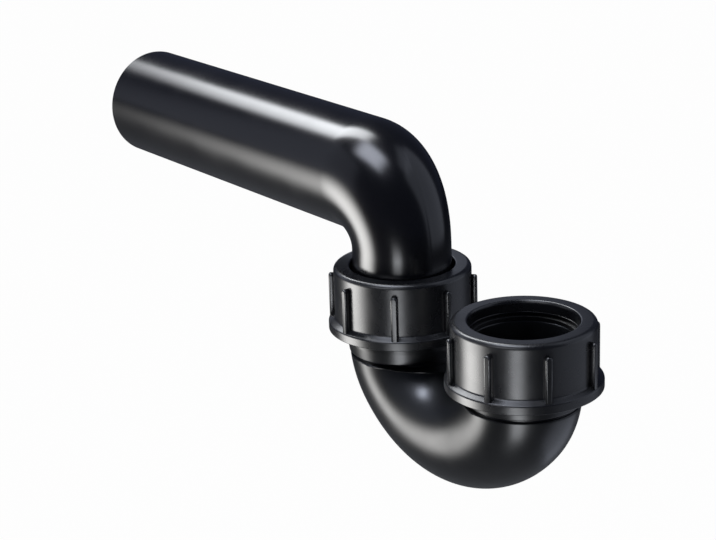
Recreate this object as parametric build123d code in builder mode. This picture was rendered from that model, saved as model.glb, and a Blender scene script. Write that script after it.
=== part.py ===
from build123d import *
import os
from math import cos, radians, sin

# A tubular trap for a 50 mm waste pipe: a U-shaped bend that holds the water seal, an outlet bend
# that swivels on it, and two union nuts that clamp the pipes on flat gaskets.
# The origin is the centre of the bend's inlet rim, +Z points up and the outlet leg stands at -X.

os.makedirs("parts", exist_ok=True)

# Outlet bend
pipe_diameter = 50.0
pipe_wall = 3.0
pipe_reach = 199.0
pipe_height = 45.2
leg_diameter = 42.6
elbow_inner_radius = 2.3
pipe_end_chamfer = 0.8
collar_lip = 2.6
collar_thickness = 3.8
collar_edge_chamfer = 0.5

# Lower bend
leg_spacing = 79.0
bend_bore_margin = 1.5
bend_wall = 4.0
neck_length = 19.5
shoulder_radius = 25.0
shoulder_angle = 42.0

# Threaded heads of the lower bend
head_collar_margin = 0.5
head_length = 25.8
head_foot_lip = 1.1
head_taper_length = 4.7
head_rim_chamfer = 0.6
groove_depth = 1.1
groove_width = 1.0

# Union nuts
nut_wall = 4.2
nut_height = 27.3
nut_hole_gap = 1.2
nut_thread_gap = 1.1
lip_thickness = 4.0
hole_chamfer = 0.8
lead_in_chamfer = 1.0
nut_shoulder_fillet = 2.5
skirt_step = 2.7
skirt_height = 3.8
ledge_drop = 1.5
inlet_nut_angle = 22.0
outlet_nut_angle = 0.5

# Grip ribs of the nuts
rib_count = 8
rib_projection = 2.4
rib_width = 3.0
rib_root_depth = 1.0
rib_top_gap = 3.8
rib_edge_fillet = 0.9

# Slip rings and gaskets
ring_thickness = 1.6
ring_pipe_gap = 0.5
gasket_thickness = 2.0
gasket_bore_gap = 0.2
seal_chamfer = 0.25

# Radii
pipe_radius = pipe_diameter / 2
leg_radius = leg_diameter / 2
collar_radius = leg_radius + collar_lip
bend_bore_radius = leg_radius - pipe_wall + bend_bore_margin
bend_outer_radius = bend_bore_radius + bend_wall
head_radius = collar_radius + head_collar_margin
groove_radius = bend_outer_radius - groove_depth
head_foot_radius = groove_radius + head_foot_lip
nut_hole_radius = leg_radius + nut_hole_gap
nut_thread_radius = head_radius + nut_thread_gap
nut_radius = nut_thread_radius + nut_wall
skirt_radius = nut_radius + skirt_step
ring_inner_radius = leg_radius + ring_pipe_gap
gasket_inner_radius = bend_bore_radius + gasket_bore_gap

# The lower arc's radius closes the run between the two shoulder arcs
shoulder_inset = shoulder_radius * (1 - cos(radians(shoulder_angle)))
lower_arc_radius = (leg_spacing / 2 - shoulder_inset) / cos(radians(shoulder_angle))
lower_arc_angle = 180 - 2 * shoulder_angle

# Levels above the rims of the lower bend
seat_level = gasket_thickness
collar_top_level = seat_level + collar_thickness
inlet_ring_level = seat_level
outlet_ring_level = collar_top_level
inlet_nut_top = inlet_ring_level + ring_thickness + lip_thickness
outlet_nut_top = outlet_ring_level + ring_thickness + lip_thickness
pipe_level = seat_level + pipe_height
mitre_level = -head_length - groove_width

# Places of the two legs
inlet_axis_x = 0.0
outlet_axis_x = -leg_spacing


def leg_plane(axis_x, level):
    """Level plane square to a leg, centred on it."""
    return Plane(origin=(axis_x, 0, level))


def section_plane(axis_x, level=0.0):
    """Upright plane through a leg: local x is the radius and local y the height."""
    return Plane(origin=(axis_x, 0, level), x_dir=(1, 0, 0), z_dir=(0, -1, 0))


# Lower bend: the waterway's line runs down the inlet leg, round the bend and up the outlet leg
with BuildLine(Plane.XZ) as waterway:
    inlet_run = Line((inlet_axis_x, 0), (inlet_axis_x, -neck_length))
    inlet_turn = JernArc(inlet_run @ 1, inlet_run % 1, shoulder_radius, -shoulder_angle)
    lower_turn = JernArc(inlet_turn @ 1, inlet_turn % 1, lower_arc_radius, -lower_arc_angle)
    outlet_turn = JernArc(lower_turn @ 1, lower_turn % 1, shoulder_radius, -shoulder_angle)
    outlet_run = Line(outlet_turn @ 1, (outlet_axis_x, 0))

with BuildPart() as u_bend:
    with BuildSketch(leg_plane(inlet_axis_x, 0)):
        Circle(bend_outer_radius)
    sweep(path=waterway.line)
    # The tube stops at the groove, where the upright heads take over
    split(bisect_by=Plane.XY.offset(mitre_level), keep=Keep.BOTTOM)
    for axis_x in (inlet_axis_x, outlet_axis_x):
        with BuildSketch(section_plane(axis_x)):
            with BuildLine():
                Polyline(
                    (0, 0),
                    (head_radius - head_rim_chamfer, 0),
                    (head_radius, -head_rim_chamfer),
                    (head_radius, -head_length + head_taper_length),
                    (head_foot_radius, -head_length),
                    (groove_radius, -head_length),
                    (groove_radius, mitre_level),
                    (0, mitre_level),
                    close=True,
                )
            make_face()
        revolve(axis=Axis((axis_x, 0, 0), (0, 0, 1)))
    with BuildSketch(leg_plane(inlet_axis_x, 0)):
        Circle(bend_bore_radius)
    sweep(path=waterway.line, mode=Mode.SUBTRACT)
u_bend.part.label = "u_bend"
export_step(u_bend.part, "parts/u_bend.step")


# The elbow turns about a line just outside the leg and under the pipe, and widens from leg to pipe
elbow_pivot = Vector(
    outlet_axis_x - leg_radius - elbow_inner_radius,
    0,
    pipe_level - pipe_radius - elbow_inner_radius,
)
elbow_steps = 4


def elbow_plane(turn, radius):
    """Plane square to the elbow's line at a turn in degrees, centred on a section of that radius."""
    outward = Vector(cos(radians(turn)), 0, sin(radians(turn)))
    heading = Vector(-sin(radians(turn)), 0, cos(radians(turn)))
    return Plane(
        origin=elbow_pivot + outward * (elbow_inner_radius + radius),
        x_dir=(0, 1, 0),
        z_dir=heading,
    )


# Outlet bend: a collared leg, a tight elbow and a long plain pipe in one moulding
with BuildPart() as outlet_bend:
    for wall, mode in ((0.0, Mode.ADD), (pipe_wall, Mode.SUBTRACT)):
        with BuildSketch(leg_plane(outlet_axis_x, seat_level)):
            Circle(leg_radius - wall)
        extrude(amount=elbow_pivot.Z - seat_level, mode=mode)
        for step in range(elbow_steps + 1):
            share = step / elbow_steps
            section_radius = leg_radius + (pipe_radius - leg_radius) * share
            with BuildSketch(elbow_plane(90 * share, section_radius)):
                Circle(section_radius - wall)
        loft(mode=mode)
        with BuildSketch(elbow_plane(90, pipe_radius)):
            Circle(pipe_radius - wall)
        extrude(amount=pipe_reach - leg_radius - elbow_inner_radius, mode=mode)
        if mode is Mode.ADD:
            chamfer(outlet_bend.edges().sort_by(Axis.X)[0], pipe_end_chamfer)
            with BuildSketch(section_plane(outlet_axis_x, seat_level)):
                with BuildLine():
                    Polyline(
                        (0, 0),
                        (collar_radius - collar_edge_chamfer, 0),
                        (collar_radius, collar_edge_chamfer),
                        (collar_radius, collar_thickness - collar_edge_chamfer),
                        (collar_radius - collar_edge_chamfer, collar_thickness),
                        (0, collar_thickness),
                        close=True,
                    )
                make_face()
            revolve(axis=Axis((outlet_axis_x, 0, 0), (0, 0, 1)))
outlet_bend.part.label = "outlet_bend"
export_step(outlet_bend.part, "parts/outlet_bend.step")


# Grip rib: an upright bar with a round top end and soft outer edges, below a nut top at zero
rib_foot_level = -nut_height + skirt_height / 2
with BuildPart() as rib:
    with BuildSketch(Plane(origin=(nut_radius - rib_root_depth, 0, 0), x_dir=(0, 1, 0), z_dir=(1, 0, 0))):
        with BuildLine():
            rib_side = Line(
                (-rib_width / 2, rib_foot_level),
                (-rib_width / 2, -rib_top_gap - rib_width / 2),
            )
            rib_cap = JernArc(rib_side @ 1, rib_side % 1, rib_width / 2, -180)
            rib_far_side = Line(rib_cap @ 1, (rib_width / 2, rib_foot_level))
            Line(rib_far_side @ 1, rib_side @ 0)
        make_face()
    extrude(amount=rib_projection + rib_root_depth)
    crest = rib.faces().sort_by(Axis.X)[-1]
    fillet(crest.edges().sort_by(Axis.Z)[1:], rib_edge_fillet)


# Union nuts: a lipped sleeve with grip ribs that stand on a skirt
nut_places = (
    ("inlet_nut", inlet_axis_x, inlet_nut_top, inlet_nut_angle),
    ("outlet_nut", outlet_axis_x, outlet_nut_top, outlet_nut_angle),
)
for nut_name, axis_x, top_level, nut_angle in nut_places:
    with BuildPart() as nut:
        with BuildSketch(section_plane(axis_x, top_level)) as nut_section:
            with BuildLine():
                Polyline(
                    (nut_hole_radius + hole_chamfer, 0),
                    (nut_radius, 0),
                    (nut_radius, -nut_height + skirt_height + ledge_drop),
                    (skirt_radius, -nut_height + skirt_height),
                    (skirt_radius, -nut_height),
                    (nut_thread_radius + lead_in_chamfer, -nut_height),
                    (nut_thread_radius, -nut_height + lead_in_chamfer),
                    (nut_thread_radius, -lip_thickness),
                    (nut_hole_radius, -lip_thickness),
                    (nut_hole_radius, -hole_chamfer),
                    close=True,
                )
            make_face()
            shoulder = nut_section.vertices().group_by(Axis.Y)[-1].sort_by(Axis.X)[-1]
            fillet(shoulder, nut_shoulder_fillet)
        revolve(axis=Axis((axis_x, 0, 0), (0, 0, 1)))
        with Locations((axis_x, 0, top_level)):
            with PolarLocations(0, rib_count, start_angle=nut_angle):
                add(rib.part)
    nut.part.label = nut_name
    export_step(nut.part, f"parts/{nut_name}.step")


# Slip rings lie under the nuts' lips, so that a nut turns without dragging what it clamps
ring_places = (
    ("inlet_slip_ring", inlet_axis_x, inlet_ring_level),
    ("outlet_slip_ring", outlet_axis_x, outlet_ring_level),
)
for ring_name, axis_x, level in ring_places:
    with BuildPart() as slip_ring:
        with BuildSketch(leg_plane(axis_x, level)):
            Circle(collar_radius)
            Circle(ring_inner_radius, mode=Mode.SUBTRACT)
        extrude(amount=ring_thickness)
        chamfer(slip_ring.edges(), seal_chamfer)
    slip_ring.part.label = ring_name
    export_step(slip_ring.part, f"parts/{ring_name}.step")


# Flat gaskets lie on the rims of the lower bend
gasket_places = (
    ("inlet_gasket", inlet_axis_x),
    ("outlet_gasket", outlet_axis_x),
)
for gasket_name, axis_x in gasket_places:
    with BuildPart() as gasket:
        with BuildSketch(leg_plane(axis_x, 0)):
            Circle(collar_radius)
            Circle(gasket_inner_radius, mode=Mode.SUBTRACT)
        extrude(amount=gasket_thickness)
        chamfer(gasket.edges(), seal_chamfer)
    gasket.part.label = gasket_name
    export_step(gasket.part, f"parts/{gasket_name}.step")
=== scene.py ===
"""Looks of a black plastic tubular trap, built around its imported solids."""

import logging
import math
from dataclasses import dataclass
from enum import Enum
from typing import Callable, Iterable, Sequence

import bmesh
import bpy
from mathutils import Matrix, Vector


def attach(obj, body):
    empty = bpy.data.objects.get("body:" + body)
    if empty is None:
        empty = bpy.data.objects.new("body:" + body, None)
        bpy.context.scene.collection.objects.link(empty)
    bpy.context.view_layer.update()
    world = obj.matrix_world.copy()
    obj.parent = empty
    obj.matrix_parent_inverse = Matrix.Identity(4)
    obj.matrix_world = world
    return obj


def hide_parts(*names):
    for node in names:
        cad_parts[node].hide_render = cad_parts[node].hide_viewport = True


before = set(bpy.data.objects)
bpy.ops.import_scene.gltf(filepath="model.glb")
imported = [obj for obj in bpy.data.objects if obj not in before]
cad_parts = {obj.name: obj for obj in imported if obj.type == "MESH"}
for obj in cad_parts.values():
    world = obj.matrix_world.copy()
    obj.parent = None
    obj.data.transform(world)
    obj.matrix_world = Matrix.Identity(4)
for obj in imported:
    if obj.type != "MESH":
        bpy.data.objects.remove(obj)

LOG = logging.getLogger("tubular_trap")
MM = 0.001
WELD = 0.005
RING_STEPS = 160
PIPE_STEPS = 192
THREAD_STEPS = 72
SHADING_WEIGHT = 60

# Sockets of a Mix node for colours, whose names are shared with its other data types
MIX_FIRST, MIX_SECOND, MIX_RESULT = 6, 7, 2

Profile = Sequence[tuple[float, float]]
Ring = list[bmesh.types.BMEdge]


class Leg(Enum):
    """The two upright legs of the trap, by the place of their axis along X, in millimetres."""

    INLET = 0.0
    OUTLET = -79.0


@dataclass(frozen=True)
class UnionSizes:
    """Sizes that the two unions share, in millimetres."""

    head_radius: float = 24.4
    collar_radius: float = 23.9
    thread_bore: float = 25.5
    thread_start: float = -13.5
    thread_pitch: float = 3.0
    thread_root: float = 1.7
    thread_crest: float = 0.7
    thread_height: float = 0.8
    thread_bite: float = 0.3
    thread_fade: float = 0.2
    collar_thickness: float = 3.8
    gasket_thickness: float = 2.0
    ring_thickness: float = 1.6


UNION = UnionSizes()


def spin_profile(bm: bmesh.types.BMesh, profile: Profile, steps: int, closed: bool) -> None:
    """Turns a profile about the Z axis into a round shell.

    Args:
        bm: Mesh that gets the shell.
        profile: Points as radius and height, in millimetres.
        steps: Number of steps round the axis.
        closed: Whether the last point joins the first.
    """
    points = [bm.verts.new((radius, 0.0, height)) for radius, height in profile]
    pairs = list(zip(points, points[1:]))
    if closed:
        pairs.append((points[-1], points[0]))
    lines = [bm.edges.new(pair) for pair in pairs]
    bmesh.ops.spin(
        bm, geom=points + lines, cent=(0, 0, 0), axis=(0, 0, 1),
        angle=math.tau, steps=steps, use_merge=True,
    )
    bmesh.ops.remove_doubles(bm, verts=bm.verts, dist=WELD)


def ring_at(bm: bmesh.types.BMesh, radius: float, height: float) -> Ring:
    """Finds the edges of the circle about Z at one radius and height.

    Args:
        bm: Mesh to look in.
        radius: Radius of the circle, in millimetres.
        height: Height of the circle, in millimetres.

    Returns:
        The edges of that circle.
    """

    def on_circle(vert: bmesh.types.BMVert) -> bool:
        """Tells whether a point lies on the circle."""
        return abs(vert.co.z - height) < WELD and abs(vert.co.xy.length - radius) < WELD

    return [edge for edge in bm.edges if all(on_circle(vert) for vert in edge.verts)]


def soften(bm: bmesh.types.BMesh, edges: Ring, width: float, steps: int = 3) -> None:
    """Rounds edges over, as a mould leaves them.

    Args:
        bm: Mesh that holds the edges.
        edges: Edges to round.
        width: Width of the rounding on each side, in millimetres.
        steps: Number of faces across the rounding.
    """
    bmesh.ops.bevel(
        bm, geom=edges, offset=width, offset_type="OFFSET", segments=steps,
        profile=0.5, affect="EDGES", material=-1,
    )


def grow(bm: bmesh.types.BMesh, ring: Ring, place: Callable[[bmesh.types.BMVert], Vector]) -> Ring:
    """Extrudes a ring of edges and puts each new point where a rule says.

    Args:
        bm: Mesh that holds the ring.
        ring: Edges to extrude.
        place: Rule that gives the new place of a point from the copy of the old one.

    Returns:
        The edges of the new ring.
    """
    made = bmesh.ops.extrude_edge_only(bm, edges=ring)["geom"]
    points = {item for item in made if isinstance(item, bmesh.types.BMVert)}
    for point in points:
        point.co = place(point)
    return [
        item for item in made
        if isinstance(item, bmesh.types.BMEdge) and all(vert in points for vert in item.verts)
    ]


def turn_ring(bm: bmesh.types.BMesh, ring: Ring, centre: Vector, angle: float, steps: int) -> Ring:
    """Sweeps a ring of edges round an axis along Y.

    Args:
        bm: Mesh that holds the ring.
        ring: Edges to sweep.
        centre: Point on the axis, in millimetres.
        angle: Angle in degrees, from +Z towards +X.
        steps: Number of steps along the arc.

    Returns:
        The edges of the last ring.
    """
    points = list({vert for edge in ring for vert in edge.verts})
    made = bmesh.ops.spin(
        bm, geom=points + ring, cent=centre, axis=(0, 1, 0),
        angle=math.radians(angle), steps=steps, use_merge=False,
    )
    return [item for item in made["geom_last"] if isinstance(item, bmesh.types.BMEdge)]


def add_thread(
    bm: bmesh.types.BMesh, root: float, inward: bool, turns: float, phase: float
) -> None:
    """Adds one right-handed helical ridge on a round wall about Z.

    Args:
        bm: Mesh that gets the ridge.
        root: Radius of the wall, in millimetres.
        inward: Whether the ridge stands inward, as in a nut.
        turns: Number of turns.
        phase: Share of a pitch by which the ridge is moved up.
    """
    way = -1.0 if inward else 1.0
    bite = root - way * UNION.thread_bite
    crest = root + way * UNION.thread_height
    low = UNION.thread_start + phase * UNION.thread_pitch
    section = [
        bm.verts.new((bite, 0.0, low - UNION.thread_root / 2)),
        bm.verts.new((crest, 0.0, low - UNION.thread_crest / 2)),
        bm.verts.new((crest, 0.0, low + UNION.thread_crest / 2)),
        bm.verts.new((bite, 0.0, low + UNION.thread_root / 2)),
    ]
    lines = [bm.edges.new((section[i], section[i - 1])) for i in range(4)]
    steps = round(turns * THREAD_STEPS)
    old = set(bm.verts) - set(section)
    bmesh.ops.spin(
        bm, geom=section + lines, cent=(0, 0, 0), axis=(0, 0, 1), angle=math.tau * turns,
        dvec=(0, 0, UNION.thread_pitch * turns / steps), steps=steps, use_merge=False,
    )
    for vert in (vert for vert in bm.verts if vert not in old):
        share = (math.atan2(vert.co.y, vert.co.x) / math.tau) % 1.0
        turn = round((vert.co.z - low) / UNION.thread_pitch - share) + share
        inset = min(turn, turns - turn)
        height = min(1.0, max(0.0, inset / UNION.thread_fade))
        radius = bite + (vert.co.xy.length - bite) * height
        vert.co.xy = vert.co.xy.normalized() * radius
    ends = [edge for edge in bm.edges if edge.is_boundary and not any(v in old for v in edge.verts)]
    bmesh.ops.holes_fill(bm, edges=ends, sides=4)


@dataclass
class Piece:
    """One finished piece of the trap, which stands for one solid and moves with its body."""

    name: str
    node: str
    body: str
    slot: str
    material: bpy.types.Material
    leg: Leg

    def shape(self, bm: bmesh.types.BMesh) -> None:
        """Makes the piece's mesh about its leg's axis, in millimetres.

        Args:
            bm: Empty mesh to fill.
        """
        raise NotImplementedError

    def build(self) -> bpy.types.Object:
        """Makes the piece and hands it to the frame.

        Returns:
            The finished object.
        """
        bm = bmesh.new()
        self.shape(bm)
        bmesh.ops.translate(bm, vec=(self.leg.value, 0, 0), verts=bm.verts)
        bmesh.ops.scale(bm, vec=(MM, MM, MM), verts=bm.verts)
        bmesh.ops.recalc_face_normals(bm, faces=bm.faces)
        for face in bm.faces:
            face.smooth = True
        mesh = bpy.data.meshes.new(self.name)
        bm.to_mesh(mesh)
        bm.free()
        mesh.materials.append(self.material)
        piece = bpy.data.objects.new(self.name, mesh)
        bpy.context.scene.collection.objects.link(piece)
        weighting = piece.modifiers.new("even_shading", "WEIGHTED_NORMAL")
        weighting.weight = SHADING_WEIGHT
        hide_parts(self.node)
        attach(piece, self.body)
        LOG.info("%s: %d faces", self.name, len(mesh.polygons))
        return piece


@dataclass
class LowerBend(Piece):
    """The U-shaped bend with its two threaded heads, in one moulding."""

    spacing: float = 79.0
    outer_radius: float = 23.8
    bore_radius: float = 19.8
    neck: float = 19.5
    shoulder_radius: float = 25.0
    shoulder_angle: float = 42.0
    head_length: float = 25.5
    taper: float = 4.7
    foot_radius: float = 23.8
    groove_radius: float = 22.2
    groove_width: float = 1.3
    rim_chamfer: float = 0.6
    shelf_rounding: float = 0.7
    foot_rounding: float = 0.3
    taper_rounding: float = 0.4
    thread_turns: float = 4.0
    rows: int = 44
    shoulder_steps: int = 16
    lower_steps: int = 24

    @property
    def mitre(self) -> float:
        """Height at which the tube stops and the upright heads take over, in millimetres."""
        return -self.head_length - self.groove_width

    @property
    def lower_radius(self) -> float:
        """Radius of the lower arc, which closes the run between the two shoulders."""
        turn = math.radians(self.shoulder_angle)
        return (self.spacing / 2 - self.shoulder_radius * (1 - math.cos(turn))) / math.cos(turn)

    @property
    def lower_centre(self) -> Vector:
        """Centre of the lower arc, in the inlet leg's frame."""
        turn = math.radians(self.shoulder_angle)
        rise = (self.lower_radius - self.shoulder_radius) * math.sin(turn)
        return Vector((-self.spacing / 2, 0.0, -self.neck + rise))

    def skin_point(self, turn: float, line: float) -> Vector:
        """Gives a point of the tube's outer skin.

        Args:
            turn: Angle along the bend, 0 at the neck and 90 degrees at the bottom.
            line: Angle round the tube, in radians, 0 on the outer side.

        Returns:
            The point in the inlet leg's frame, in millimetres.
        """
        if turn < self.shoulder_angle:
            centre, radius = Vector((-self.shoulder_radius, 0, -self.neck)), self.shoulder_radius
        else:
            centre, radius = self.lower_centre, self.lower_radius
        angle = math.radians(turn)
        reach = radius + self.outer_radius * math.cos(line)
        side = self.outer_radius * math.sin(line)
        return centre + Vector((reach * math.cos(angle), side, -reach * math.sin(angle)))

    def mitre_turn(self, line: float) -> float:
        """Finds where one line of the skin passes the mitre.

        Args:
            line: Angle round the tube, in radians.

        Returns:
            The angle along the bend, in degrees.
        """
        above, below = 0.0, 90.0
        for _ in range(40):
            middle = (above + below) / 2
            if self.skin_point(middle, line).z > self.mitre:
                above = middle
            else:
                below = middle
        return (above + below) / 2

    def shape(self, bm: bmesh.types.BMesh) -> None:
        """Makes the inlet half, mirrors it and adds the threads.

        Args:
            bm: Empty mesh to fill.
        """
        rim = UNION.head_radius - self.rim_chamfer
        spin_profile(
            bm,
            [
                (self.bore_radius, 0.0), (rim, 0.0), (UNION.head_radius, -self.rim_chamfer),
                (UNION.head_radius, -self.head_length + self.taper),
                (self.foot_radius, -self.head_length), (self.groove_radius, -self.head_length),
                (self.groove_radius, self.mitre),
            ],
            RING_STEPS, closed=False,
        )
        self._run_skin(bm)
        self._run_bore(bm)
        soften(bm, ring_at(bm, self.foot_radius, -self.head_length), self.foot_rounding)
        taper_top = -self.head_length + self.taper
        soften(bm, ring_at(bm, UNION.head_radius, taper_top), self.taper_rounding)
        middle = Vector((self.spacing / 2, 0, 0))
        bmesh.ops.translate(bm, vec=middle, verts=bm.verts)
        everything = list(bm.verts) + list(bm.edges) + list(bm.faces)
        bmesh.ops.mirror(bm, geom=everything, matrix=Matrix.Identity(4), merge_dist=WELD, axis="X")
        bmesh.ops.translate(bm, vec=-middle, verts=bm.verts)
        bmesh.ops.remove_doubles(bm, verts=bm.verts, dist=WELD)
        self._add_threads(bm)

    def _run_skin(self, bm: bmesh.types.BMesh) -> None:
        """Runs the outer skin from the groove's foot, over its shelf and down to the bottom.

        Args:
            bm: Mesh that holds the head.
        """
        ring = ring_at(bm, self.groove_radius, self.mitre)
        lines = bm.verts.layers.float.new("line")
        for vert in {vert for edge in ring for vert in edge.verts}:
            vert[lines] = math.atan2(vert.co.y, vert.co.x)
        starts = {}

        def at_row(row: int) -> Callable[[bmesh.types.BMVert], Vector]:
            """Gives the rule that places the points of one row."""

            def place(vert: bmesh.types.BMVert) -> Vector:
                """Puts a point on its own line of the skin."""
                line = vert[lines]
                if line not in starts:
                    starts[line] = self.mitre_turn(line)
                first = starts[line]
                return self.skin_point(first + (90.0 - first) * row / self.rows, line)

            return place

        shelf = ring = grow(bm, ring, at_row(0))
        for row in range(1, self.rows + 1):
            ring = grow(bm, ring, at_row(row))
        soften(bm, shelf, self.shelf_rounding)

    def _run_bore(self, bm: bmesh.types.BMesh) -> None:
        """Runs the waterway from the rim down to the bottom.

        Args:
            bm: Mesh that holds the head.
        """
        drop = Vector((0, 0, -self.neck))
        ring = grow(bm, ring_at(bm, self.bore_radius, 0.0), lambda vert: vert.co + drop)
        shoulder = Vector((-self.shoulder_radius, 0, -self.neck))
        ring = turn_ring(bm, ring, shoulder, self.shoulder_angle, self.shoulder_steps)
        turn_ring(bm, ring, self.lower_centre, 90.0 - self.shoulder_angle, self.lower_steps)

    def _add_threads(self, bm: bmesh.types.BMesh) -> None:
        """Adds the ridge of each head's thread.

        Args:
            bm: Mesh that holds both heads.
        """
        for leg in Leg:
            to_leg = Vector((leg.value, 0, 0))
            bmesh.ops.translate(bm, vec=-to_leg, verts=bm.verts)
            add_thread(bm, UNION.head_radius, False, turns=self.thread_turns, phase=0.0)
            bmesh.ops.translate(bm, vec=to_leg, verts=bm.verts)


@dataclass
class OutletBend(Piece):
    """The collared leg, the tight elbow and the long plain pipe, in one moulding."""

    leg_radius: float = 21.3
    pipe_radius: float = 25.0
    wall: float = 3.0
    reach: float = 199.0
    level: float = 47.2
    inner_radius: float = 2.3
    end_chamfer: float = 0.8
    collar_chamfer: float = 0.5
    mouth_rounding: float = 0.25
    seam_height: float = 0.1
    rows: int = 48

    @property
    def pivot(self) -> Vector:
        """Point that the elbow turns about, in the leg's frame."""
        drop = self.pipe_radius + self.inner_radius
        return Vector((-self.leg_radius - self.inner_radius, 0, self.level - drop))

    def elbow_point(self, turn: float, line: float, depth: float) -> Vector:
        """Gives a point of the elbow, which widens from the leg to the pipe.

        Args:
            turn: Angle along the elbow, 0 at the leg and 90 degrees at the pipe.
            line: Angle round the tube, in radians, 0 on the outer side.
            depth: Depth under the skin, in millimetres.

        Returns:
            The point in the leg's frame, in millimetres.
        """
        share = turn / 90
        growth = share * share * (3 - 2 * share)
        radius = self.leg_radius + (self.pipe_radius - self.leg_radius) * growth
        reach = self.inner_radius + radius + (radius - depth) * math.cos(line)
        side = (radius - depth) * math.sin(line)
        angle = math.radians(turn)
        return self.pivot + Vector((reach * math.cos(angle), side, reach * math.sin(angle)))

    def pipe_point(self, x: float, line: float, depth: float) -> Vector:
        """Gives a point of the plain pipe.

        Args:
            x: Place along the pipe, in the leg's frame.
            line: Angle round the pipe, in radians, 0 on top.
            depth: Depth under the skin, in millimetres.

        Returns:
            The point in the leg's frame, in millimetres.
        """
        radius = self.pipe_radius - depth
        return Vector((x, radius * math.sin(line), self.level + radius * math.cos(line)))

    def shape(self, bm: bmesh.types.BMesh) -> None:
        """Walks one ring round the collar, out along the skin and back through the bore.

        Args:
            bm: Empty mesh to fill.
        """
        foot = UNION.gasket_thickness
        top = foot + UNION.collar_thickness
        edge = UNION.collar_radius - self.collar_chamfer
        spin_profile(
            bm,
            [
                (self.leg_radius - self.wall, foot), (edge, foot),
                (UNION.collar_radius, foot + self.collar_chamfer),
                (UNION.collar_radius, top - self.collar_chamfer), (edge, top),
                (self.leg_radius, top),
            ],
            PIPE_STEPS, closed=False,
        )
        ring = ring_at(bm, self.leg_radius, top)
        lines = bm.verts.layers.float.new("line")
        for vert in {vert for edge in ring for vert in edge.verts}:
            vert[lines] = math.atan2(vert.co.y, vert.co.x)

        def in_elbow(turn: float, depth: float) -> Callable[[bmesh.types.BMVert], Vector]:
            """Gives the rule that places points at one turn of the elbow."""
            return lambda vert: self.elbow_point(turn, vert[lines], depth)

        def in_pipe(x: float, depth: float) -> Callable[[bmesh.types.BMVert], Vector]:
            """Gives the rule that places points at one place along the pipe."""
            return lambda vert: self.pipe_point(x, vert[lines], depth)

        seam = set()
        for row in range(self.rows + 1):
            ring = grow(bm, ring, in_elbow(90.0 * row / self.rows, 0.0))
            seam |= {vert for edge in ring for vert in edge.verts if abs(vert.co.y) < WELD}
        ring = grow(bm, ring, in_pipe(self.end_chamfer - self.reach, 0.0))
        lip = ring = grow(bm, ring, in_pipe(-self.reach, self.end_chamfer))
        mouth = ring = grow(bm, ring, in_pipe(-self.reach, self.wall))
        for row in range(self.rows, -1, -2):
            ring = grow(bm, ring, in_elbow(90.0 * row / self.rows, self.wall))
        grow(bm, ring, lambda vert: Vector((vert.co.x, vert.co.y, foot)))
        bmesh.ops.remove_doubles(bm, verts=bm.verts, dist=WELD)
        bmesh.ops.recalc_face_normals(bm, faces=bm.faces)
        bm.normal_update()
        for vert in seam:
            vert.co += vert.normal * self.seam_height
        soften(bm, lip + mouth, self.mouth_rounding, 2)


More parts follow.
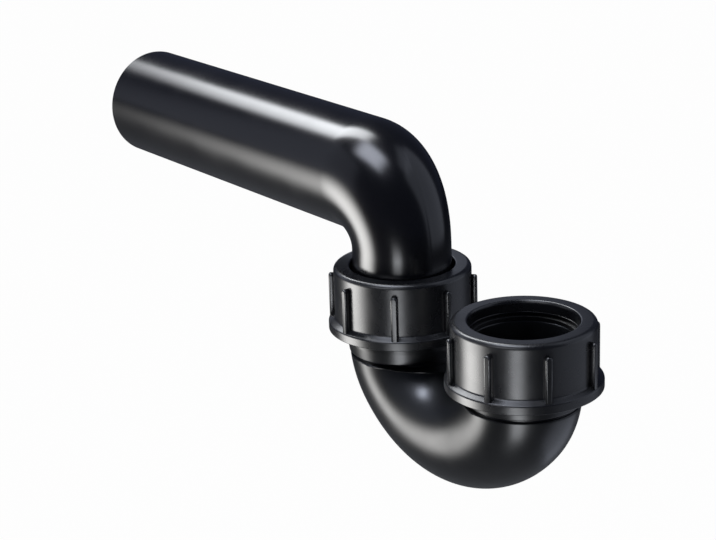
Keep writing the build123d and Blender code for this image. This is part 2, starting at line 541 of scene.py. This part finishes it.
@dataclass
class UnionNut(Piece):
    """A lipped union nut with grip ribs that stand on a skirt."""

    top: float = 7.6
    angle: float = 22.0
    height: float = 27.3
    radius: float = 29.7
    hole_radius: float = 22.5
    hole_chamfer: float = 0.4
    crown: float = 0.9
    lip: float = 4.0
    lead_in: float = 1.0
    shoulder_fillet: float = 2.1
    skirt_radius: float = 32.4
    skirt_height: float = 3.8
    ledge_drop: float = 1.5
    rib_count: int = 8
    rib_radius: float = 32.1
    rib_width: float = 3.0
    rib_root: float = 1.0
    rib_gap: float = 3.8
    rib_rounding: float = 0.8
    cap_steps: int = 10
    ledge_rounding: float = 0.5
    skirt_rounding: float = 0.4
    hole_rounding: float = 0.5
    throat_rounding: float = 0.4
    lip_rounding: float = 0.2
    thread_turns: float = 4.5
    thread_phase: float = 0.5

    def shape(self, bm: bmesh.types.BMesh) -> None:
        """Turns the sleeve, then adds the thread and the ribs.

        Args:
            bm: Empty mesh to fill.
        """
        ledge = -self.height + self.skirt_height
        corner = ledge + self.ledge_drop
        lead = UNION.thread_bore + self.lead_in
        mouth = self.hole_radius + self.hole_chamfer
        spin_profile(
            bm,
            [
                (mouth, self.crown), (self.radius, self.crown),
                (self.radius, corner), (self.skirt_radius, ledge),
                (self.skirt_radius, -self.height), (lead, -self.height),
                (UNION.thread_bore, -self.height + self.lead_in),
                (UNION.thread_bore, -self.lip), (self.hole_radius, -self.lip),
                (self.hole_radius, -self.hole_chamfer),
            ],
            RING_STEPS, closed=True,
        )
        soften(bm, ring_at(bm, self.radius, self.crown), self.shoulder_fillet, 6)
        soften(bm, ring_at(bm, self.radius, corner), self.ledge_rounding)
        soften(bm, ring_at(bm, self.skirt_radius, ledge), self.ledge_rounding)
        soften(bm, ring_at(bm, self.skirt_radius, -self.height), self.skirt_rounding)
        soften(bm, ring_at(bm, mouth, self.crown), self.hole_rounding, 3)
        soften(bm, ring_at(bm, self.hole_radius, -self.hole_chamfer), self.throat_rounding, 3)
        soften(bm, ring_at(bm, self.hole_radius, -self.lip), self.lip_rounding, 2)
        self._add_ribs(bm)
        bmesh.ops.translate(bm, vec=(0, 0, self.top), verts=bm.verts)
        add_thread(bm, UNION.thread_bore, True, self.thread_turns, self.thread_phase)

    def _add_ribs(self, bm: bmesh.types.BMesh) -> None:
        """Adds one upright rib with a round upper end, then repeats it round the nut.

        Args:
            bm: Mesh that holds the sleeve, with its top at zero.
        """
        old = set(bm.verts)
        root = self.radius - self.rib_root
        half = self.rib_width / 2
        foot = -self.height + self.skirt_height / 2
        cap = -self.rib_gap - half
        start = bm.verts.new((root, half, cap))
        bmesh.ops.spin(
            bm, geom=[start], cent=(root, 0, cap), axis=(1, 0, 0), angle=math.pi,
            steps=self.cap_steps,
        )
        arc = sorted((vert for vert in bm.verts if vert not in old), key=lambda vert: -vert.co.y)
        corners = [bm.verts.new((root, -half, foot)), bm.verts.new((root, half, foot))]
        face = bm.faces.new(arc + corners)
        made = bmesh.ops.extrude_face_region(bm, geom=[face])["geom"]
        crest = [item for item in made if isinstance(item, bmesh.types.BMVert)]
        bmesh.ops.translate(bm, vec=(self.rib_radius - root, 0, 0), verts=crest)
        lines = [item for item in made if isinstance(item, bmesh.types.BMEdge)]
        rim = [edge for edge in lines if max(vert.co.z for vert in edge.verts) > foot + WELD]
        soften(bm, rim, self.rib_rounding)
        rib = [vert for vert in bm.verts if vert not in old]
        turn = Matrix.Rotation(math.radians(self.angle), 3, "Z")
        bmesh.ops.rotate(bm, cent=(0, 0, 0), matrix=turn, verts=rib)
        mine = set(rib)
        edges = [edge for edge in bm.edges if all(vert in mine for vert in edge.verts)]
        faces = [face for face in bm.faces if all(vert in mine for vert in face.verts)]
        bmesh.ops.spin(
            bm, geom=rib + edges + faces, cent=(0, 0, 0), axis=(0, 0, 1),
            angle=math.tau * (self.rib_count - 1) / self.rib_count,
            steps=self.rib_count - 1, use_duplicate=True,
        )


@dataclass
class FlatRing(Piece):
    """A flat ring of a union: a slip ring or a gasket."""

    inner_radius: float = 22.2
    bottom: float = 0.0
    thickness: float = UNION.ring_thickness
    rounding: float = 0.3

    def shape(self, bm: bmesh.types.BMesh) -> None:
        """Turns the ring's section and rounds its four edges.

        Args:
            bm: Empty mesh to fill.
        """
        top = self.bottom + self.thickness
        corners = [
            (self.inner_radius, self.bottom), (UNION.collar_radius, self.bottom),
            (UNION.collar_radius, top), (self.inner_radius, top),
        ]
        spin_profile(bm, corners, RING_STEPS, closed=True)
        soften(bm, [edge for corner in corners for edge in ring_at(bm, *corner)], self.rounding)


def linear(hex_colour: str) -> tuple[float, float, float, float]:
    """Turns an sRGB colour into the linear one that shaders take.

    Args:
        hex_colour: Colour such as "1F2023".

    Returns:
        Linear red, green, blue and an alpha of 1.
    """
    parts = [int(hex_colour[i:i + 2], 16) / 255 for i in (0, 2, 4)]
    red, green, blue = (p / 12.92 if p <= 0.04045 else ((p + 0.055) / 1.055) ** 2.4 for p in parts)
    return (red, green, blue, 1.0)


def add_node(
    tree: bpy.types.NodeTree, kind: str, inputs: dict[str, object] | None = None, **settings: object
) -> bpy.types.Node:
    """Adds a shader node, sets it and feeds its sockets.

    Args:
        tree: Node tree that gets the node.
        kind: Type of the node without its ShaderNode prefix.
        inputs: Values or output sockets by input name.
        **settings: Properties of the node.

    Returns:
        The new node.
    """
    node = tree.nodes.new("ShaderNode" + kind)
    for name, value in settings.items():
        setattr(node, name, value)
    for name, value in (inputs or {}).items():
        if isinstance(value, bpy.types.NodeSocket):
            tree.links.new(value, node.inputs[name])
        else:
            node.inputs[name].default_value = value
    return node


@dataclass(frozen=True)
class MouldedFinish:
    """A black moulded plastic or rubber: its colour, its gloss and the skin that its mould left.

    Sizes and depths are in millimetres. The grain of such moulds is finer than the render can show,
    so it is drawn coarser here.
    """

    name: str
    colour: str
    deep_colour: str
    roughness: float
    roughness_play: float
    grain_size: float
    grain_depth: float
    wave_size: float
    wave_depth: float
    index: float = 1.5

    def build(self) -> bpy.types.Material:
        """Makes the material.

        Returns:
            The new material.
        """
        material = bpy.data.materials.new(self.name)
        material.use_nodes = True
        tree = material.node_tree
        tree.nodes.clear()
        place = add_node(tree, "TexCoord").outputs["Object"]
        wave = add_node(
            tree, "TexNoise", {"Vector": place, "Scale": 1 / (self.wave_size * MM), "Detail": 2.0}
        )
        grain = add_node(
            tree, "TexNoise", {"Vector": place, "Scale": 1 / (self.grain_size * MM), "Detail": 3.0}
        )
        tone = add_node(tree, "Mix", data_type="RGBA")
        tone.inputs[MIX_FIRST].default_value = linear(self.deep_colour)
        tone.inputs[MIX_SECOND].default_value = linear(self.colour)
        tree.links.new(wave.outputs["Fac"], tone.inputs["Factor"])
        rough = add_node(
            tree, "MapRange",
            {
                "Value": wave.outputs["Fac"], "From Min": 0.3, "From Max": 0.7,
                "To Min": self.roughness - self.roughness_play,
                "To Max": self.roughness + self.roughness_play,
            },
        )
        flow = add_node(
            tree, "Bump",
            {"Height": wave.outputs["Fac"], "Distance": self.wave_depth * MM, "Strength": 1.0},
        )
        skin = add_node(
            tree, "Bump",
            {
                "Height": grain.outputs["Fac"], "Distance": self.grain_depth * MM, "Strength": 1.0,
                "Normal": flow.outputs["Normal"],
            },
        )
        shader = add_node(
            tree, "BsdfPrincipled",
            {
                "Base Color": tone.outputs[MIX_RESULT], "Roughness": rough.outputs["Result"],
                "IOR": self.index, "Normal": skin.outputs["Normal"],
            },
        )
        add_node(tree, "OutputMaterial", {"Surface": shader.outputs["BSDF"]})
        return material


# Polypropylene from a spark-eroded mould: a fine even grain spreads each highlight into a soft band
SATIN_BEND = MouldedFinish(
    "satin_polypropylene_injection_moulded",
    colour="0C0D0F", deep_colour="090A0B", roughness=0.31, roughness_play=0.03,
    grain_size=0.5, grain_depth=0.003, wave_size=14.0, wave_depth=0.02,
)
# The nuts' mould is grained a little finer, so the ribs show thin bright edges on a dull ground
SATIN_NUT = MouldedFinish(
    "grained_polypropylene_injection_moulded",
    colour="0D0E10", deep_colour="0A0A0C", roughness=0.28, roughness_play=0.03,
    grain_size=0.45, grain_depth=0.003, wave_size=11.0, wave_depth=0.02,
)
# Polyethylene from a polished mould: crisp, slightly wavy reflections on a deep black
GLOSS_PIPE = MouldedFinish(
    "gloss_polyethylene_polished_mould",
    colour="0B0B0E", deep_colour="08080A", roughness=0.2, roughness_play=0.02,
    grain_size=0.8, grain_depth=0.001, wave_size=26.0, wave_depth=0.03,
)
# Thin polyethylene ring, smooth but duller than the pipe
SLIP_RING = MouldedFinish(
    "smooth_polyethylene_slip_ring",
    colour="0E0F11", deep_colour="0B0B0D", roughness=0.3, roughness_play=0.04,
    grain_size=0.6, grain_depth=0.004, wave_size=8.0, wave_depth=0.02,
)
# Cured rubber: matt, with a dusty bloom and a slightly uneven face
GASKET = MouldedFinish(
    "cured_rubber_flat_gasket",
    colour="0F0F0F", deep_colour="0B0B0B", roughness=0.6, roughness_play=0.06,
    grain_size=0.3, grain_depth=0.02, wave_size=5.0, wave_depth=0.04,
)


# Pieces that a light may be kept for
LOWER_BEND = ("lower_bend_moulding",)
NUTS = ("outlet_union_nut", "inlet_union_nut")
PIPE_AND_NUTS = ("outlet_bend_moulding", *NUTS)


@dataclass(frozen=True)
class Softbox:
    """A studio light with soft edges, placed about the object as the camera sees it.

    Angles are in degrees and the distance in metres. The bearing is counted from the camera about
    Z, and the light's two spreads are those that the object sees. A light with names in lit falls
    on those pieces only.
    """

    name: str
    bearing: float
    elevation: float
    distance: float
    spread: tuple[float, float]
    radiance: float
    colour: str
    softness: float = 0.5
    roll: float = 0.0
    lit: tuple[str, ...] = ()

    def build(self, target: Vector, camera_bearing: float) -> None:
        """Places the light so that it faces the target.

        Args:
            target: Point that the light faces, in metres.
            camera_bearing: Direction from the target to the camera about Z, in degrees.
        """
        data = bpy.data.lights.new(self.name, "AREA")
        data.shape = "RECTANGLE"
        data.size, data.size_y = (
            2 * self.distance * math.tan(math.radians(angle / 2)) for angle in self.spread
        )
        data.energy = self.radiance * math.pi * data.size * data.size_y
        data.color = linear(self.colour)[:3]
        self._fade_edges(data)
        light = bpy.data.objects.new(self.name, data)
        bpy.context.scene.collection.objects.link(light)
        turn = math.radians(camera_bearing + self.bearing)
        rise = math.radians(self.elevation)
        level = math.cos(rise)
        way = Vector((math.cos(turn) * level, math.sin(turn) * level, math.sin(rise)))
        facing = way.to_track_quat("Z", "Y").to_matrix().to_4x4()
        light.matrix_world = (
            Matrix.Translation(target + way * self.distance)
            @ facing @ Matrix.Rotation(math.radians(self.roll), 4, "Z")
        )
        light.visible_camera = False
        if self.lit:
            receivers = bpy.data.collections.new(self.name + "_receivers")
            for name in self.lit:
                receivers.objects.link(bpy.data.objects[name])
            light.light_linking.receiver_collection = receivers

    def _fade_edges(self, data: bpy.types.Light) -> None:
        """Lets the light fade towards its edges, as a diffuser does.

        Args:
            data: Light to fade.
        """
        data.use_nodes = True
        tree = data.node_tree
        tree.nodes.clear()
        place = add_node(tree, "NewGeometry").outputs["Parametric"]
        axes = add_node(tree, "SeparateXYZ", {"Vector": place})
        shares = []
        for axis in ("X", "Y"):
            offset = add_node(tree, "Math", operation="MULTIPLY_ADD")
            tree.links.new(axes.outputs[axis], offset.inputs[0])
            offset.inputs[1].default_value = 2.0
            offset.inputs[2].default_value = -1.0
            size = add_node(tree, "Math", operation="ABSOLUTE")
            tree.links.new(offset.outputs["Value"], size.inputs[0])
            fade = add_node(
                tree, "MapRange",
                {
                    "Value": size.outputs["Value"], "From Min": 1 - self.softness, "From Max": 1.0,
                    "To Min": 1.0, "To Max": 0.0,
                },
                interpolation_type="SMOOTHSTEP",
            )
            shares.append(fade.outputs["Result"])
        both = add_node(tree, "Math", operation="MULTIPLY")
        for share, socket in zip(shares, both.inputs):
            tree.links.new(share, socket)
        glow = add_node(tree, "Emission", {"Strength": both.outputs["Value"]})
        add_node(tree, "OutputLight", {"Surface": glow.outputs["Emission"]})


@dataclass(frozen=True)
class Studio:
    """Floor, surroundings, lights and camera of the photo."""

    camera_place: tuple[float, float, float] = (578.69, -501.98, 293.33)
    camera_yaw: float = 53.965
    camera_pitch: float = -18.922
    camera_roll: float = -1.964
    focal_length: float = 102.467
    sensor_width: float = 36.0
    camera_reach: float = 50.0
    target: tuple[float, float, float] = (-60.0, 0.0, 0.0)
    floor_level: float = -1200.0
    floor_span: float = 40.0
    floor_colour: str = "9A9A9A"
    floor_white: float = 0.985
    ambient: float = 0.07
    ambient_colour: str = "C0CEFF"
    lights: tuple[Softbox, ...] = (
        Softbox(
            "left_softbox", -90.0, -20.0, 1.3, (54.0, 56.0), 14.0, "FFFEFC", 0.9, roll=10.0,
            lit=PIPE_AND_NUTS,
        ),
        Softbox(
            "bend_left_softbox", -98.0, -21.0, 0.9, (28.0, 44.0), 9.5, "FFFEFC", 0.7, roll=25.0,
            lit=LOWER_BEND,
        ),
        Softbox("front_softbox", -13.0, -32.0, 1.0, (25.0, 48.0), 8.5, "F7FAFF", 0.6),
        Softbox(
            "overhead_softbox", -50.0, 72.0, 1.3, (46.0, 37.0), 9.5, "EAF0FF", 0.6,
            lit=PIPE_AND_NUTS,
        ),
        Softbox("back_softbox", -146.0, 54.0, 2.0, (25.0, 52.0), 13.5, "F8FBFF", 0.5, roll=12.0),
        Softbox("right_panel", 90.0, 22.0, 1.6, (64.0, 74.0), 0.62, "E6EDFF", 0.2),
        Softbox("right_top_panel", 90.0, 59.0, 1.6, (42.0, 20.0), 0.7, "E6EDFF", 0.5),
        Softbox("right_low_panel", 95.0, -48.0, 1.3, (64.0, 44.0), 0.8, "E6EDFF", 0.5),
        Softbox("left_panel", -92.0, 25.0, 1.7, (60.0, 50.0), 0.4, "E6EDFF", 0.3),
        Softbox(
            "nut_edge_light", -32.0, 24.0, 1.4, (60.0, 34.0), 2.5, "F4F7FF", 0.6,
            lit=NUTS,
        ),
        Softbox(
            "nut_back_panel", -145.0, 22.0, 1.6, (90.0, 34.0), 0.9, "E6EDFF", 0.6,
            lit=NUTS,
        ),
        Softbox(
            "nut_right_panel", 78.0, -18.0, 1.4, (100.0, 40.0), 0.45, "E6EDFF", 0.6,
            lit=NUTS,
        ),
        Softbox("bend_spot", -95.0, 45.0, 1.2, (20.0, 24.0), 22.0, "E6EDFF", 0.8, lit=LOWER_BEND),
    )

    def build(self) -> None:
        """Makes the whole studio."""
        self._make_floor()
        self._make_world()
        # At no yaw the camera looks along +Y, so it stands at 270 degrees about Z
        bearing = 270.0 + self.camera_yaw
        for light in self.lights:
            light.build(Vector(self.target) * MM, bearing)
        self._make_camera()
        bpy.context.scene.view_settings.view_transform = "Standard"

    def _make_floor(self) -> None:
        """Makes the plain floor: white to the camera and a dim grey to the object's reflections."""
        mesh = bpy.data.meshes.new("floor")
        bm = bmesh.new()
        bmesh.ops.create_grid(bm, x_segments=1, y_segments=1, size=self.floor_span / 2)
        bmesh.ops.translate(bm, vec=(0, 0, self.floor_level * MM), verts=bm.verts)
        bm.to_mesh(mesh)
        bm.free()
        floor = bpy.data.objects.new("floor", mesh)
        bpy.context.scene.collection.objects.link(floor)
        material = bpy.data.materials.new("painted_floor")
        material.use_nodes = True
        tree = material.node_tree
        tree.nodes.clear()
        paint = add_node(tree, "BsdfDiffuse", {"Color": linear(self.floor_colour)})
        glow = add_node(tree, "Emission", {"Color": (1, 1, 1, 1), "Strength": 1.0})
        rays = add_node(tree, "LightPath")
        share = add_node(tree, "Math", operation="MULTIPLY")
        tree.links.new(rays.outputs["Is Camera Ray"], share.inputs[0])
        share.inputs[1].default_value = self.floor_white
        seen = add_node(tree, "MixShader", {"Fac": share.outputs["Value"]})
        tree.links.new(paint.outputs["BSDF"], seen.inputs[1])
        tree.links.new(glow.outputs["Emission"], seen.inputs[2])
        add_node(tree, "OutputMaterial", {"Surface": seen.outputs["Shader"]})
        mesh.materials.append(material)

    def _make_world(self) -> None:
        """Makes the surroundings: white to the camera and a dim studio to everything else."""
        world = bpy.data.worlds.new("studio")
        bpy.context.scene.world = world
        world.use_nodes = True
        tree = world.node_tree
        tree.nodes.clear()
        rays = add_node(tree, "LightPath")
        level = add_node(
            tree, "MapRange",
            {"Value": rays.outputs["Is Camera Ray"], "To Min": self.ambient, "To Max": 1.0},
        )
        tint = add_node(tree, "Mix", {"Factor": rays.outputs["Is Camera Ray"]}, data_type="RGBA")
        tint.inputs[MIX_FIRST].default_value = linear(self.ambient_colour)
        tint.inputs[MIX_SECOND].default_value = (1, 1, 1, 1)
        back = add_node(
            tree, "Background",
            {"Color": tint.outputs[MIX_RESULT], "Strength": level.outputs["Result"]},
        )
        add_node(tree, "OutputWorld", {"Surface": back.outputs["Background"]})

    def _make_camera(self) -> None:
        """Makes the camera at the photo's place and angle."""
        data = bpy.data.cameras.new("camera")
        data.sensor_fit = "HORIZONTAL"
        data.sensor_width = self.sensor_width
        data.lens = self.focal_length
        data.clip_end = self.camera_reach
        camera = bpy.data.objects.new("camera", data)
        bpy.context.scene.collection.objects.link(camera)
        camera.matrix_world = (
            Matrix.Translation(Vector(self.camera_place) * MM)
            @ Matrix.Rotation(math.radians(self.camera_yaw), 4, "Z")
            @ Matrix.Rotation(math.radians(90 + self.camera_pitch), 4, "X")
            @ Matrix.Rotation(math.radians(self.camera_roll), 4, "Z")
        )
        bpy.context.scene.camera = camera


def make_pieces() -> Iterable[Piece]:
    """Lists the pieces of the trap with their finishes.

    Returns:
        The pieces, not yet built.
    """
    bend, nut, pipe = SATIN_BEND.build(), SATIN_NUT.build(), GLOSS_PIPE.build()
    ring, rubber = SLIP_RING.build(), GASKET.build()
    seat = UNION.gasket_thickness
    collar_top = seat + UNION.collar_thickness
    return (
        LowerBend("lower_bend_moulding", "u_bend", "lower_bend", "satin_moulding", bend, Leg.INLET),
        OutletBend(
            "outlet_bend_moulding", "outlet_bend", "outlet_bend", "gloss_pipe", pipe, Leg.OUTLET,
        ),
        UnionNut(
            "inlet_union_nut", "inlet_nut", "inlet_nut", "satin_nut", nut, Leg.INLET,
            top=7.6, angle=22.0,
        ),
        UnionNut(
            "outlet_union_nut", "outlet_nut", "outlet_nut", "satin_nut", nut, Leg.OUTLET,
            top=11.4, angle=0.5,
        ),
        FlatRing(
            "inlet_slip_washer", "inlet_slip_ring", "inlet_slip_ring", "slip_ring", ring, Leg.INLET,
            bottom=seat,
        ),
        FlatRing(
            "outlet_slip_washer", "outlet_slip_ring", "outlet_slip_ring", "slip_ring", ring,
            Leg.OUTLET, bottom=collar_top,
        ),
        FlatRing(
            "inlet_flat_gasket", "inlet_gasket", "lower_bend", "gasket_rubber", rubber, Leg.INLET,
            inner_radius=21.0, thickness=seat,
        ),
        FlatRing(
            "outlet_flat_gasket", "outlet_gasket", "lower_bend", "gasket_rubber", rubber,
            Leg.OUTLET, inner_radius=21.0, thickness=seat,
        ),
    )


def main() -> None:
    """Builds the looks."""
    logging.basicConfig(level=logging.INFO)
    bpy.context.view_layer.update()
    for piece in make_pieces():
        piece.build()
    Studio().build()


if __name__ == "__main__":
    main()
